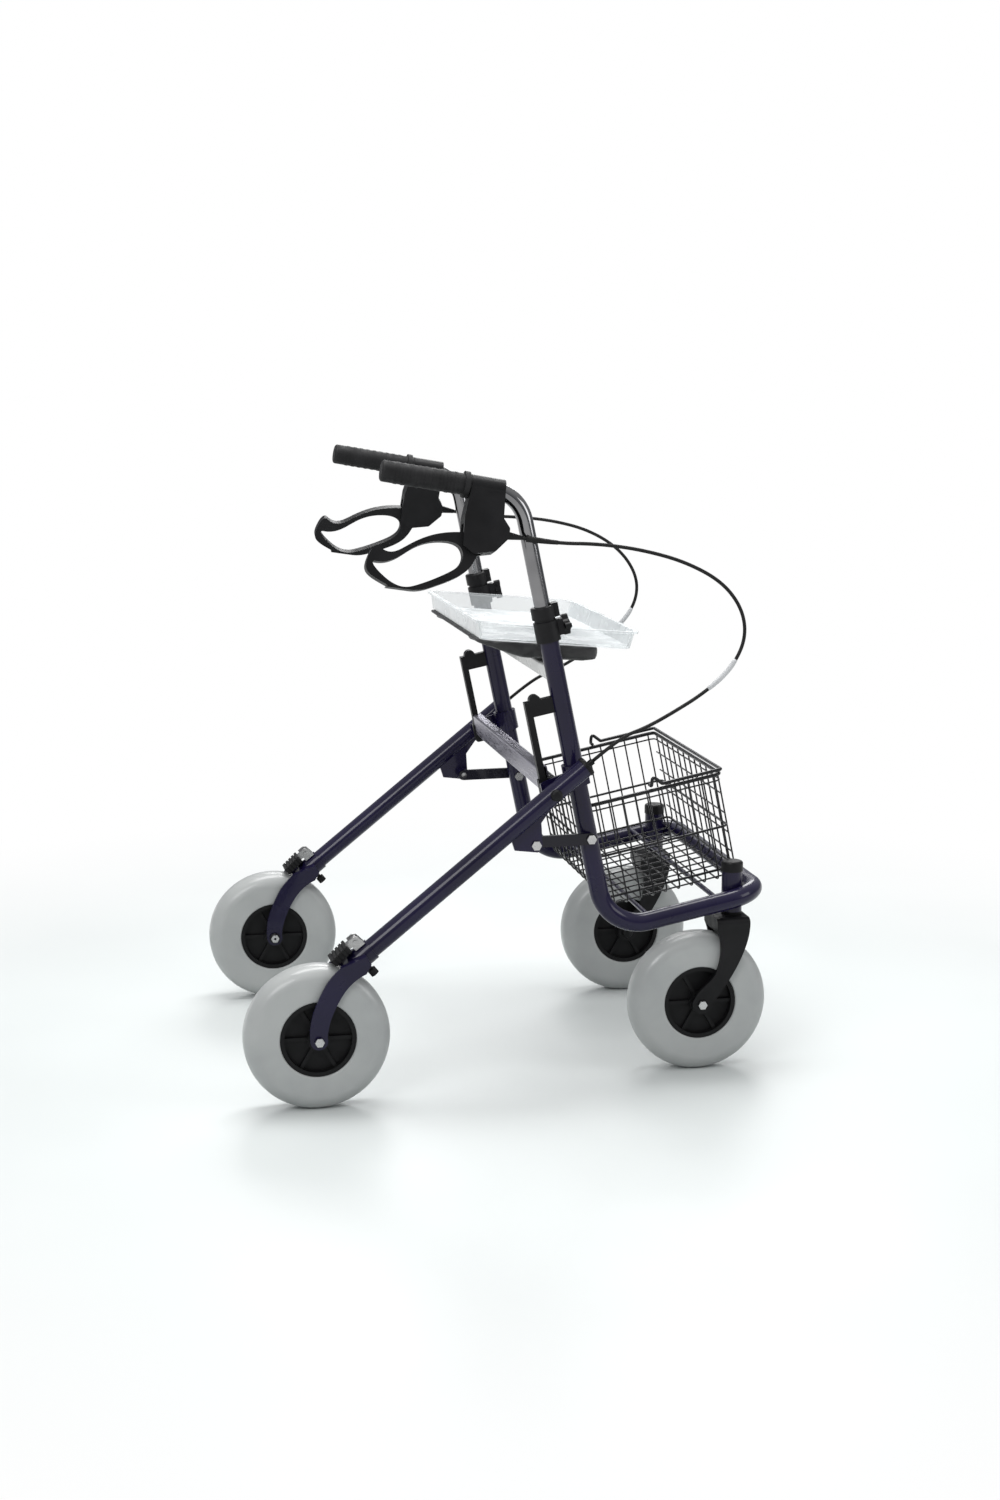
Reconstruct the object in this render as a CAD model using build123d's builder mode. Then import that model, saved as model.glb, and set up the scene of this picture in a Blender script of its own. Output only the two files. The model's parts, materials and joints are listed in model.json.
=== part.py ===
from build123d import *
from math import atan2, cos, degrees, radians, sin, tan
import os

# Four-wheeled walking frame (rollator), millimetres.
# +X is the walking direction, +Y the user's left, +Z up, origin on the floor under the middle of the box.

# ---- driving dimensions ----
WHEELBASE = 554
WHEEL_R = 100
TYRE_HALF = 24.5
RIM_R = 52
REAR_TRACK_HALF = 283
FRONT_TRACK_HALF = 211
CASTER_TRAIL = 51
FRAME_Y = 239
TUBE_R = 13.3
TUBE_BORE_R = 11.05
HANDLE_TUBE_R = 11.0
LEAN = 11.6
CORNER_X, CORNER_Z = 138.3, 212.5
UPRIGHT_LEN = 446
CROSS_RUN = 230
SIDE_RUN = 168
SIDE_BEND_R = 61
FRONT_BEND_R = 50
PIN_R = 4.0
PIN_BORE_R = 4.05

# rear leg, given from its upper pivot
PIVOT_X, PIVOT_Z = 52, 420.7
LEG_ANGLE = 38.9
LEG_DOWN = 358
LEG_STUB = 55
GUSSET_X, GUSSET_Z = 28, 349
LINK_X, LINK_Z = 110, 350
LINK_T = 5

# grip and brake, given from a point on the grip's axis
GRIP_X, GRIP_Z = -37, 833.4
GRIP_RISE = 10
GRIP_TIP = 141
BRAKE_SPLAY = 15
HANDLE_BEND_R = 55

# seat, tray and basket
SEAT_DROP = 5
SEAT_X, SEAT_Z = 50, 616
SEAT_LEN, SEAT_HALF_W, CUSHION_T, CUSHION_EDGE_T, BOARD_T = 180, 200, 20, 4, 4
TRAY_LEN, TRAY_HALF_W, TRAY_H, TRAY_WALL = 232, 216, 25, 2.5
TRAY_SHIFT = 24
BASKET_START, BASKET_LEN, BASKET_HALF_W = 18, 202, 184
BASKET_LOW, BASKET_TOP, BASKET_WALL = 12, 170, 3
BASKET_ROD_R = 3.5

CABLE_R = 2.5

REAR_X, FRONT_X = -WHEELBASE / 2, WHEELBASE / 2
STEM_X = FRONT_X + CASTER_TRAIL
LEAN_C, LEAN_S = cos(radians(LEAN)), sin(radians(LEAN))
LEG_C, LEG_S = cos(radians(LEG_ANGLE)), sin(radians(LEG_ANGLE))

os.makedirs("parts", exist_ok=True)


def save(part, name):
    part.label = name
    export_step(part, f"parts/{name}.step")


def save_pair(part, name):
    """Write the left piece and its mirror image on the right."""
    save(part, f"{name}_left")
    save(mirror(part, about=Plane.XZ), f"{name}_right")


def save_both(part, name):
    """Write both sides' pieces as one node."""
    with BuildPart() as both:
        add(part)
        mirror(about=Plane.XZ)
    save(both.part, name)


def upright_plane(y):
    """Local x runs forward along the lower tube, local y up along the upright."""
    return Plane(origin=(CORNER_X, y, CORNER_Z), x_dir=(LEAN_C, 0, LEAN_S), z_dir=(0, -1, 0))


def side_plane(y):
    """Local x is +X, local y is +Z."""
    return Plane(origin=(0, y, 0), x_dir=(1, 0, 0), z_dir=(0, -1, 0))


def to_upright(x, z):
    """A world point in the upright plane's own coordinates."""
    dx, dz = x - CORNER_X, z - CORNER_Z
    return dx * LEAN_C + dz * LEAN_S, dz * LEAN_C - dx * LEAN_S


def cross_disc(x, z, low_y, high_y, radius, bore=0):
    """A round boss, pin or washer whose axis is along Y."""
    with BuildPart() as disc:
        with BuildSketch(side_plane(high_y)):
            with Locations((x, z)):
                Circle(radius)
                if bore:
                    Circle(bore, mode=Mode.SUBTRACT)
        extrude(amount=high_y - low_y)
    return disc.part


def bent_tube(plane, points, bend, outer, inner=0):
    with BuildPart() as tube:
        with BuildLine(plane) as path:
            FilletPolyline(*points, radius=bend)
        with BuildSketch(Plane(origin=path.line @ 0, z_dir=path.line % 0)):
            Circle(outer)
            if inner:
                Circle(inner, mode=Mode.SUBTRACT)
        sweep()
    return tube.part


def cross_bolt(x, z, low_y, high_y, radius, head_r, head_t):
    """A bolt along Y with a hexagon head outside and a nut inside."""
    with BuildPart() as bolt:
        add(cross_disc(x, z, low_y, high_y, radius))
        for y in (high_y, low_y - head_t):
            with BuildSketch(side_plane(y + head_t)):
                with Locations((x, z)):
                    RegularPolygon(head_r, 6)
            extrude(amount=head_t)
    return bolt.part


# ---- main frame: two bent side tubes and the front cross tube ----
frame_side = bent_tube(
    upright_plane(FRAME_Y), [(0, UPRIGHT_LEN), (0, 0), (SIDE_RUN, 0)], SIDE_BEND_R, TUBE_R, TUBE_BORE_R)
with BuildPart() as frame_side_left:
    add(frame_side)
    add(cross_disc(LINK_X, LINK_Z, FRAME_Y - 20, FRAME_Y + 20, PIN_R), mode=Mode.SUBTRACT)
save_pair(frame_side_left.part, "frame_side")
side_solid = bent_tube(upright_plane(FRAME_Y), [(0, UPRIGHT_LEN), (0, 0), (SIDE_RUN, 0)], SIDE_BEND_R, TUBE_R)

loop_plane = Plane(origin=(CORNER_X, 0, CORNER_Z), x_dir=(LEAN_C, 0, LEAN_S), z_dir=(-LEAN_S, 0, LEAN_C))
front_points = [(SIDE_RUN, FRAME_Y), (CROSS_RUN, FRAME_Y), (CROSS_RUN, -FRAME_Y), (SIDE_RUN, -FRAME_Y)]
save(bent_tube(loop_plane, front_points, FRONT_BEND_R, TUBE_R, TUBE_BORE_R), "front_cross_tube")

# two rods between the lower tubes carry the basket
ROD_V = BASKET_LOW - BASKET_ROD_R - 0.3
with BuildPart() as basket_rods:
    with BuildSketch(upright_plane(FRAME_Y - 6)):
        with Locations((62, ROD_V), (163, ROD_V)):
            Circle(BASKET_ROD_R)
    extrude(amount=2 * (FRAME_Y - 6))
    add(side_solid, mode=Mode.SUBTRACT)
    add(mirror(side_solid, about=Plane.XZ), mode=Mode.SUBTRACT)
save(basket_rods.part, "basket_rods")

# ---- caster heads: sleeve, bushes and cap on each side ----
HEAD_LOW, HEAD_TOP, HEAD_R, HEAD_BORE_R = 227, 285, 14.5, 12.5
STEM_R, STEM_BORE_R = 6.0, 6.05
with BuildPart() as head:
    with BuildSketch(Plane.XY.offset(HEAD_LOW)):
        with Locations((STEM_X, FRONT_TRACK_HALF)):
            Circle(HEAD_R)
            Circle(HEAD_BORE_R, mode=Mode.SUBTRACT)
    extrude(amount=HEAD_TOP - HEAD_LOW)
save_both(head.part, "head_tubes")

BUSH_H = 12
with BuildPart() as bushes:
    for z in (HEAD_LOW, HEAD_TOP - BUSH_H):
        with BuildSketch(Plane.XY.offset(z)):
            with Locations((STEM_X, FRONT_TRACK_HALF)):
                Circle(HEAD_BORE_R)
                Circle(STEM_BORE_R, mode=Mode.SUBTRACT)
        extrude(amount=BUSH_H)
save_both(bushes.part, "caster_bushes")

CAP_H = 15
with BuildPart() as cap:
    with BuildSketch(Plane.XY.offset(HEAD_TOP)):
        with Locations((STEM_X, FRONT_TRACK_HALF)):
            Circle(HEAD_R + 1)
    extrude(amount=CAP_H)
    fillet(cap.edges().group_by(Axis.Z)[-1], 4)
    with BuildSketch(Plane.XY.offset(HEAD_TOP)):
        with Locations((STEM_X, FRONT_TRACK_HALF)):
            Circle(HEAD_BORE_R - 1)
    extrude(amount=CAP_H - 4, mode=Mode.SUBTRACT)
save_both(cap.part, "head_caps")


# ---- wheels ----
def make_rim(x, y):
    """Black moulded wheel centre: hub, thin web with ribs, and the band that the tyre sits on."""
    hub_r, hub_half, band_r, web_half = 15, 24, 46, 12
    with BuildPart() as rim:
        with BuildSketch(side_plane(y + 22)):
            with Locations((x, WHEEL_R)):
                Circle(RIM_R)
                Circle(band_r, mode=Mode.SUBTRACT)
        extrude(amount=44)
        add(cross_disc(x, WHEEL_R, y - web_half, y + web_half, band_r + 1))
        add(cross_disc(x, WHEEL_R, y - hub_half, y + hub_half, hub_r))
        with BuildSketch(side_plane(y + 17)):
            with Locations((x, WHEEL_R)):
                with PolarLocations((hub_r + band_r) / 2, 6):
                    Rectangle(band_r - hub_r + 4, 5)
        extrude(amount=34)
        add(cross_disc(x, WHEEL_R, y - 30, y + 30, PIN_BORE_R), mode=Mode.SUBTRACT)
    return rim.part


def make_tyre(x, y):
    """Solid tyre with rounded shoulders, revolved about the axle."""
    with BuildPart() as tyre:
        with BuildSketch(Plane(origin=(x, y, WHEEL_R), x_dir=(0, 1, 0), z_dir=(1, 0, 0))) as section:
            with Locations((0, (RIM_R + WHEEL_R) / 2)):
                Rectangle(2 * TYRE_HALF, WHEEL_R - RIM_R)
            fillet(section.vertices().group_by(Axis.Y)[-1], 20)
            fillet(section.vertices().group_by(Axis.Y)[0], 2.5)
        revolve(axis=Axis((x, y, WHEEL_R), (0, 1, 0)))
    return tyre.part


AXLE_HALF = 34


def make_axle(x, y):
    return cross_bolt(x, WHEEL_R, y - AXLE_HALF, y + AXLE_HALF, PIN_R, 6.5, 4.5)


for name, wheel_x, wheel_y in (("rear", REAR_X, REAR_TRACK_HALF), ("front", FRONT_X, FRONT_TRACK_HALF)):
    save_pair(make_rim(wheel_x, wheel_y), f"{name}_rim")
    save_pair(make_tyre(wheel_x, wheel_y), f"{name}_tyre")
save_pair(make_axle(FRONT_X, FRONT_TRACK_HALF), "front_axle")

# ---- caster forks: crown, two curved arms and the stem in one moulding ----
SLOT_HALF, FORK_HALF, SLOT_R = 28, 33.5, 104
CROWN_TOP = 223


def cut_wheel_slot(x, y, low):
    """Clear the wheel's space between two fork arms, inside the fork's own builder."""
    with BuildSketch(side_plane(y + SLOT_HALF)) as slot:
        with Locations((x, WHEEL_R)):
            Circle(SLOT_R)
        with Locations((x, WHEEL_R - low / 2)):
            Rectangle(2 * SLOT_R, low)
    extrude(to_extrude=slot.sketch, amount=2 * SLOT_HALF, mode=Mode.SUBTRACT)


with BuildPart() as caster_fork:
    with BuildSketch(side_plane(FRONT_TRACK_HALF + FORK_HALF)):
        with BuildLine():
            crown = Line((298, CROWN_TOP), (346, CROWN_TOP))
            front = Spline(crown @ 1, (345, 200), (334, 166), (314, 130), (290, 98))
            Line(front @ 1, (264, 98))
            rear = Spline((264, 98), (272, 118), (294, 140), (303, 165), (303, 190), (298, 206))
            Line(rear @ 1, crown @ 0)
        make_face()
        with Locations((FRONT_X, WHEEL_R)):
            Circle(14)
    extrude(amount=2 * FORK_HALF)
    cut_wheel_slot(FRONT_X, FRONT_TRACK_HALF, 40)
    crown_edges = caster_fork.edges().filter_by(GeomType.LINE).group_by(Axis.Z)[-1]
    fillet(crown_edges.filter_by(Axis.X), 8)
    with BuildSketch(Plane.XY.offset(CROWN_TOP - 2)):
        with Locations((STEM_X, FRONT_TRACK_HALF)):
            Circle(STEM_R)
    extrude(amount=HEAD_TOP - 3 - CROWN_TOP + 2)
    with BuildSketch(Plane.XY.offset(CROWN_TOP - 2)):
        with Locations((STEM_X, FRONT_TRACK_HALF)):
            Circle(HEAD_R)
    extrude(amount=5)
    add(cross_disc(FRONT_X, WHEEL_R, FRONT_TRACK_HALF - 50, FRONT_TRACK_HALF + 50, PIN_R), mode=Mode.SUBTRACT)
save_pair(caster_fork.part, "caster_fork")


# ---- rear legs ----
def on_leg(along, up=0):
    """World X and Z of a point along the leg from its pivot, and off its axis."""
    return PIVOT_X + along * LEG_C - up * LEG_S, PIVOT_Z + along * LEG_S + up * LEG_C


BOSS_LOW, BOSS_HIGH, GUSSET_HIGH = 261, 275, 280
leg_low = on_leg(-LEG_DOWN)
leg_plane = Plane(origin=(leg_low[0], REAR_TRACK_HALF, leg_low[1]), z_dir=(LEG_C, 0, LEG_S))
with BuildPart() as rear_leg:
    with BuildSketch(leg_plane):
        Circle(TUBE_R)
    extrude(amount=LEG_DOWN + LEG_STUB)
    with BuildSketch(side_plane(GUSSET_HIGH)):
        Polygon(on_leg(-84, -9), (GUSSET_X - 30, 343), (GUSSET_X + 2, 339), (GUSSET_X + 9, 346),
                (GUSSET_X + 7, 380), on_leg(0, -10), align=None)
    extrude(amount=5)
    add(cross_disc(GUSSET_X, GUSSET_Z, BOSS_LOW, BOSS_HIGH + 1, 9))
    add(cross_disc(PIVOT_X, PIVOT_Z, BOSS_LOW, BOSS_HIGH + 1, 10))
    with BuildSketch(leg_plane):
        Circle(TUBE_R - 1.5)
    extrude(amount=LEG_DOWN + LEG_STUB, mode=Mode.SUBTRACT)
    add(cross_disc(PIVOT_X, PIVOT_Z, BOSS_LOW - 5, 300, PIN_BORE_R), mode=Mode.SUBTRACT)
    add(cross_disc(GUSSET_X, GUSSET_Z, BOSS_LOW - 5, 300, PIN_R), mode=Mode.SUBTRACT)
save_pair(rear_leg.part, "rear_leg")

# the leg's bolts: the wheel's axle, and the screw in the gusset's boss
with BuildPart() as leg_bolts:
    add(make_axle(REAR_X, REAR_TRACK_HALF))
    add(cross_disc(GUSSET_X, GUSSET_Z, BOSS_LOW, GUSSET_HIGH, PIN_R))
    with BuildSketch(side_plane(GUSSET_HIGH + 4)):
        with Locations((GUSSET_X, GUSSET_Z)):
            RegularPolygon(7, 6)
    extrude(amount=4)
save_pair(leg_bolts.part, "leg_bolts")

# plug in the leg's top end with the cable's entry, and the brake's adjuster knob under the fork's socket
GLAND_LEN = 14
SOCKET_LEN, SOCKET_R = 34, 15.5
ADJUSTER_ALONG = -343
top_end = on_leg(LEG_STUB)
cap_plane = Plane(origin=(top_end[0], REAR_TRACK_HALF, top_end[1]), z_dir=(LEG_C, 0, LEG_S))
with BuildPart() as leg_cap:
    with BuildSketch(cap_plane):
        Circle(TUBE_R + 1)
    extrude(amount=6)
    fillet(leg_cap.faces().filter_by(GeomType.PLANE).sort_by(Axis.X)[-1].edges(), 3)
    with BuildSketch(cap_plane):
        Circle(4.5)
    extrude(amount=GLAND_LEN)
    with BuildSketch(cap_plane):
        Circle(TUBE_R - 1.5)
    extrude(amount=-16)
    for up, radius, height in ((-SOCKET_R, 3, 6), (-SOCKET_R - 6, 6, 9)):
        knob_x, knob_z = on_leg(ADJUSTER_ALONG, up)
        with BuildSketch(Plane(origin=(knob_x, REAR_TRACK_HALF, knob_z), z_dir=(LEG_S, 0, -LEG_C))):
            Circle(radius)
        extrude(amount=height)
save_pair(leg_cap.part, "leg_cap")

# ---- rear forks: socket on the leg and two curved plates ----
REAR_PLATE_IN, REAR_PLATE_OUT = 28, 31.5
with BuildPart() as rear_fork:
    with BuildSketch(side_plane(REAR_TRACK_HALF + REAR_PLATE_OUT)):
        with BuildLine():
            left = Spline((-289, 100), (-287, 130), (-276, 160), (-262, 184), (-246, 200))
            top = Line(left @ 1, (-212, 214))
            nose = Line(top @ 1, (-205, 203))
            chin = Line(nose @ 1, (-212, 190))
            Spline(chin @ 1, (-235, 174), (-252, 149), (-263, 121), (-266, 100))
            Line((-266, 100), (-289, 100))
        make_face()
        with Locations((REAR_X, WHEEL_R)):
            Circle(12)
    extrude(amount=2 * REAR_PLATE_OUT)
    with BuildSketch(side_plane(REAR_TRACK_HALF + REAR_PLATE_IN)) as slot:
        with Locations((REAR_X, WHEEL_R)):
            Circle(SLOT_R)
    extrude(amount=2 * REAR_PLATE_IN, mode=Mode.SUBTRACT)
    with BuildSketch(side_plane(REAR_TRACK_HALF + 21)):
        Polygon(on_leg(-392, 9), on_leg(-359, 9), on_leg(-359, 40), on_leg(-392, 40), align=None)
    extrude(amount=42, mode=Mode.SUBTRACT)
    with BuildSketch(leg_plane):
        Circle(SOCKET_R)
    extrude(amount=SOCKET_LEN)
    with BuildSketch(leg_plane):
        Circle(TUBE_R)
    extrude(amount=SOCKET_LEN + 20, mode=Mode.SUBTRACT)
    add(cross_disc(REAR_X, WHEEL_R, REAR_TRACK_HALF - 50, REAR_TRACK_HALF + 50, PIN_R), mode=Mode.SUBTRACT)
save_pair(rear_fork.part, "rear_fork")

# ---- rear brakes: bracket on the socket, arm and ribbed pad ----
SHOE_ALONG, SHOE_UP = -335, 24.5
SHOE_X, SHOE_Z = on_leg(SHOE_ALONG, SHOE_UP)
SHOE_GAP_R = 102.2
PAD_LEAN = 44
with BuildPart() as brake_bracket:
    with BuildSketch(side_plane(REAR_TRACK_HALF + 10)):
        Polygon(on_leg(-342, SOCKET_R - 1), on_leg(-326, SOCKET_R - 1), on_leg(-328, 28),
                on_leg(-333, 31.5), on_leg(-342, 31.5), align=None)
    extrude(amount=20)
    with BuildSketch(side_plane(REAR_TRACK_HALF + 6.5)):
        Polygon(on_leg(-360, 16.5), on_leg(-320, 16.5), on_leg(-320, 40), on_leg(-360, 40), align=None)
    extrude(amount=13, mode=Mode.SUBTRACT)
    add(cross_disc(SHOE_X, SHOE_Z, REAR_TRACK_HALF - 12, REAR_TRACK_HALF + 12, 3.0))
    with BuildSketch(leg_plane):
        Circle(SOCKET_R)
    extrude(amount=SOCKET_LEN, mode=Mode.SUBTRACT)
save_pair(brake_bracket.part, "brake_bracket")

with BuildPart() as brake_arm:
    with BuildSketch(side_plane(REAR_TRACK_HALF + 6)):
        with Locations((SHOE_X, SHOE_Z)):
            Circle(6)
        Polygon(on_leg(SHOE_ALONG, 29.5), on_leg(SHOE_ALONG, 19.5), on_leg(-353, 21),
                on_leg(-353, 28), align=None)
    extrude(amount=12)
    add(cross_disc(SHOE_X, SHOE_Z, REAR_TRACK_HALF - 20, REAR_TRACK_HALF + 20, 3.05), mode=Mode.SUBTRACT)
save_pair(brake_arm.part, "brake_arm")

pad_c, pad_s = cos(radians(PAD_LEAN)), sin(radians(PAD_LEAN))
pad_foot = Plane(origin=(-254.2, REAR_TRACK_HALF, 201.5), x_dir=(0, 1, 0), z_dir=(pad_c, 0, pad_s))
with BuildPart() as brake_pad:
    with BuildSketch(pad_foot):
        with Locations((0, 0.5)):
            Rectangle(36, 11)
    extrude(amount=29)
    add(brake_arm.part, mode=Mode.SUBTRACT)
    for step in range(4):
        with BuildSketch(pad_foot.offset(5 + 6 * step)):
            Rectangle(38, 16)
            Rectangle(33, 8.5, mode=Mode.SUBTRACT)
        extrude(amount=2, mode=Mode.SUBTRACT)
    add(cross_disc(REAR_X, WHEEL_R, REAR_TRACK_HALF - 30, REAR_TRACK_HALF + 30, SHOE_GAP_R), mode=Mode.SUBTRACT)
    with BuildSketch(leg_plane.offset(-10)):
        Circle(SOCKET_R + 4)
    extrude(amount=SOCKET_LEN, mode=Mode.SUBTRACT)
save_pair(brake_pad.part, "brake_pad")

# ---- fold slide: a ring on each upright, joined by the silver cross bar, lifted by the pull loops ----
PIVOT_W, PIVOT_V = to_upright(PIVOT_X, PIVOT_Z)
PLATE_LOW, PLATE_HIGH = 255, 260
RING_R, RING_LOW, RING_HIGH = 17.5, 216, 246
up_dir = (-LEAN_S, 0, LEAN_C)
ring_plane = Plane(upright_plane(FRAME_Y).from_local_coords((0, RING_LOW, 0)), z_dir=up_dir)
with BuildPart() as slide_bracket:
    with BuildSketch(upright_plane(PLATE_HIGH)):
        with BuildLine():
            Polyline((PIVOT_W - 12, PIVOT_V - 8), (PIVOT_W + 6, PIVOT_V - 13), (14, RING_LOW + 2),
                     (14, RING_HIGH - 2), (PIVOT_W + 6, PIVOT_V + 16), (PIVOT_W - 12, PIVOT_V + 12), close=True)
        make_face()
    extrude(amount=PLATE_HIGH - PLATE_LOW)
    with BuildSketch(ring_plane):
        Circle(RING_R)
    extrude(amount=RING_HIGH - RING_LOW)
    with BuildSketch(ring_plane.offset(-5)):
        Circle(TUBE_R + 0.08)
    extrude(amount=RING_HIGH - RING_LOW + 10, mode=Mode.SUBTRACT)
    add(cross_disc(PIVOT_X, PIVOT_Z, 240, 300, PIN_R), mode=Mode.SUBTRACT)
save_both(slide_bracket.part, "slide_brackets")

LOOP_W_REAR, LOOP_BAR, LOOP_TOP = -51.5, 9, 345
LOOP_HALF_T = 6
with BuildPart() as pull_loop:
    with BuildSketch(upright_plane(FRAME_Y + LOOP_HALF_T)):
        with Locations((LOOP_W_REAR + LOOP_BAR / 2, (PIVOT_V + LOOP_TOP) / 2)):
            Rectangle(LOOP_BAR, LOOP_TOP - PIVOT_V)
        with Locations(((LOOP_W_REAR - 6) / 2, LOOP_TOP - 11)):
            Rectangle(-6 - LOOP_W_REAR, 22)
        with Locations((-36.5, LOOP_TOP)):
            Circle(8)
        with Locations((PIVOT_W + 1, PIVOT_V)):
            Rectangle(24, 28)
    extrude(amount=2 * LOOP_HALF_T)
    corner_edges = pull_loop.edges().filter_by(Axis.Y)
    fillet(corner_edges.group_by(Axis.Z)[0], 4)
    with BuildSketch(upright_plane(PLATE_LOW)):
        with Locations((PIVOT_W + 1, PIVOT_V)):
            Rectangle(20, 22)
    extrude(amount=PLATE_LOW - FRAME_Y)
    with BuildSketch(ring_plane.offset(60)):
        Circle(TUBE_R + 0.4)
    extrude(amount=80, mode=Mode.SUBTRACT)
    add(cross_disc(PIVOT_X, PIVOT_Z, 200, 300, PIN_R), mode=Mode.SUBTRACT)
save_both(pull_loop.part, "pull_loops")

BAR_W, BAR_V = PIVOT_W - 1, PIVOT_V + 13
with BuildPart() as cross_bar:
    with BuildSketch(upright_plane(FRAME_Y - LOOP_HALF_T)):
        with Locations((BAR_W, BAR_V)):
            RectangleRounded(15, 34, 3)
            RectangleRounded(11, 30, 1.5, mode=Mode.SUBTRACT)
    extrude(amount=2 * (FRAME_Y - LOOP_HALF_T))
    for side in (1, -1):
        add(cross_disc(PIVOT_X, PIVOT_Z, side * 226 - 12, side * 226 + 12, 7.5), mode=Mode.SUBTRACT)
save(cross_bar.part, "cross_bar")

pivot_bolt = cross_bolt(PIVOT_X, PIVOT_Z, FRAME_Y - LOOP_HALF_T, REAR_TRACK_HALF + TUBE_R + 0.3, PIN_R, 7, 4.5)
save_both(pivot_bolt, "pivot_bolts")

# ---- fold links between the gussets and the uprights ----
link_len = LINK_X - GUSSET_X
link_tilt = degrees(atan2(LINK_Z - GUSSET_Z, link_len))
with BuildPart() as fold_link:
    with BuildSketch(side_plane(255 + LINK_T)):
        with Locations(Location(((GUSSET_X + LINK_X) / 2, (GUSSET_Z + LINK_Z) / 2), link_tilt)):
            SlotCenterToCenter(link_len, 16)
        with Locations((GUSSET_X, GUSSET_Z), (LINK_X, LINK_Z)):
            Circle(PIN_BORE_R, mode=Mode.SUBTRACT)
    extrude(amount=LINK_T)
save_pair(fold_link.part, "fold_link")
save_both(cross_bolt(LINK_X, LINK_Z, FRAME_Y - TUBE_R - 0.5, 260.5, PIN_R, 7, 4), "link_bolts")

# ---- height clamps on the uprights' top ends, and their knobs ----
CLAMP_LOW, CLAMP_HIGH, CLAMP_R = 420, 469, 17
KNOB_V, KNOB_W = 437, 24
clamp_plane = Plane(upright_plane(FRAME_Y).from_local_coords((0, CLAMP_LOW, 0)), z_dir=up_dir)
knob_plane = Plane(upright_plane(FRAME_Y).from_local_coords((KNOB_W, KNOB_V, 0)),
                   x_dir=(0, 1, 0), z_dir=(LEAN_C, 0, LEAN_S))
KNOB_STUD_R = 3
with BuildPart() as height_clamp:
    with BuildSketch(clamp_plane):
        Circle(CLAMP_R)
    extrude(amount=CLAMP_HIGH - CLAMP_LOW)
    fillet(height_clamp.edges().group_by(Axis.Z)[-1], 3)
    with BuildSketch(upright_plane(FRAME_Y + 8)):
        with Locations((17, KNOB_V)):
            Rectangle(12, 22)
        with Locations((16, 458)):
            Rectangle(9, 26)
    extrude(amount=16)
    with BuildSketch(clamp_plane.offset(-5)):
        Circle(TUBE_R)
    extrude(amount=UPRIGHT_LEN - CLAMP_LOW + 5, mode=Mode.SUBTRACT)
    with BuildSketch(clamp_plane.offset(-5)):
        Circle(TUBE_BORE_R)
    extrude(amount=90, mode=Mode.SUBTRACT)
    with BuildSketch(clamp_plane.offset(UPRIGHT_LEN - CLAMP_LOW + 2)):
        Circle(CLAMP_R + 20)
        Circle(CLAMP_R - 2.5, mode=Mode.SUBTRACT)
    extrude(amount=4, mode=Mode.SUBTRACT)
    with BuildSketch(knob_plane):
        Circle(KNOB_STUD_R + 0.05)
    extrude(amount=-10, mode=Mode.SUBTRACT)
save_both(height_clamp.part, "height_clamps")

with BuildPart() as clamp_knob:
    with BuildSketch(knob_plane):
        Circle(8)
        with PolarLocations(9, 3):
            SlotOverall(14, 8)
    extrude(amount=9)
    fillet(clamp_knob.faces().filter_by(GeomType.PLANE).sort_by(Axis.X)[-1].edges(), 1.5)
    with BuildSketch(knob_plane):
        Circle(KNOB_STUD_R)
    extrude(amount=-9)
save_pair(clamp_knob.part, "clamp_knob")

# ---- handles: bent chrome tube, grip, brake housing and lever ----
grip_c, grip_s = cos(radians(GRIP_RISE)), sin(radians(GRIP_RISE))
grip_slope = grip_s / grip_c
axis_drop = GRIP_Z - CORNER_Z - (CORNER_X - GRIP_X) * grip_slope
handle_corner_v = axis_drop / (LEAN_C - LEAN_S * grip_slope)
corner_x, corner_z = CORNER_X - handle_corner_v * LEAN_S, CORNER_Z + handle_corner_v * LEAN_C
low_v = 262
handle_low = (CORNER_X - low_v * LEAN_S, CORNER_Z + low_v * LEAN_C)
handle_end = (GRIP_X - 136 * grip_c, GRIP_Z + 136 * grip_s)
handle_points = [handle_low, (corner_x, corner_z), handle_end]
handle_tube = bent_tube(side_plane(FRAME_Y), handle_points, HANDLE_BEND_R, HANDLE_TUBE_R, HANDLE_TUBE_R - 1.5)
save_pair(handle_tube, "handle_tube")
handle_solid = bent_tube(side_plane(FRAME_Y), handle_points, HANDLE_BEND_R, HANDLE_TUBE_R)

# along the grip: local z runs backwards from the brake to the grip's tip
grip_plane = Plane(origin=(GRIP_X, FRAME_Y, GRIP_Z), x_dir=(0, 1, 0), z_dir=(-grip_c, 0, grip_s))
with BuildPart() as grip:
    with BuildSketch(grip_plane.offset(21)):
        Circle(14.5)
    extrude(amount=GRIP_TIP - 21)
    fillet(grip.faces().filter_by(GeomType.PLANE).sort_by(Axis.X)[0].edges(), 4)
    with BuildSketch(grip_plane.offset(21)):
        Circle(18)
    extrude(amount=7)
    for step in range(9):
        with BuildSketch(grip_plane.offset(38 + 10 * step)):
            Circle(15)
            Circle(14, mode=Mode.SUBTRACT)
        extrude(amount=4)
    add(handle_solid, mode=Mode.SUBTRACT)
save_pair(grip.part, "grip")

splay_c, splay_s = cos(radians(BRAKE_SPLAY)), sin(radians(BRAKE_SPLAY))
along_grip = Vector(grip_c, 0, -grip_s)
brake_up = Vector(grip_s * splay_c, -splay_s, grip_c * splay_c)
brake_normal = along_grip.cross(brake_up)


def brake_plane(offset=0):
    """Local x runs forward along the grip, local y up through the tube; splayed outwards at the bottom."""
    return Plane(origin=(GRIP_X, FRAME_Y, GRIP_Z), x_dir=along_grip, z_dir=brake_normal).offset(offset)


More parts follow.
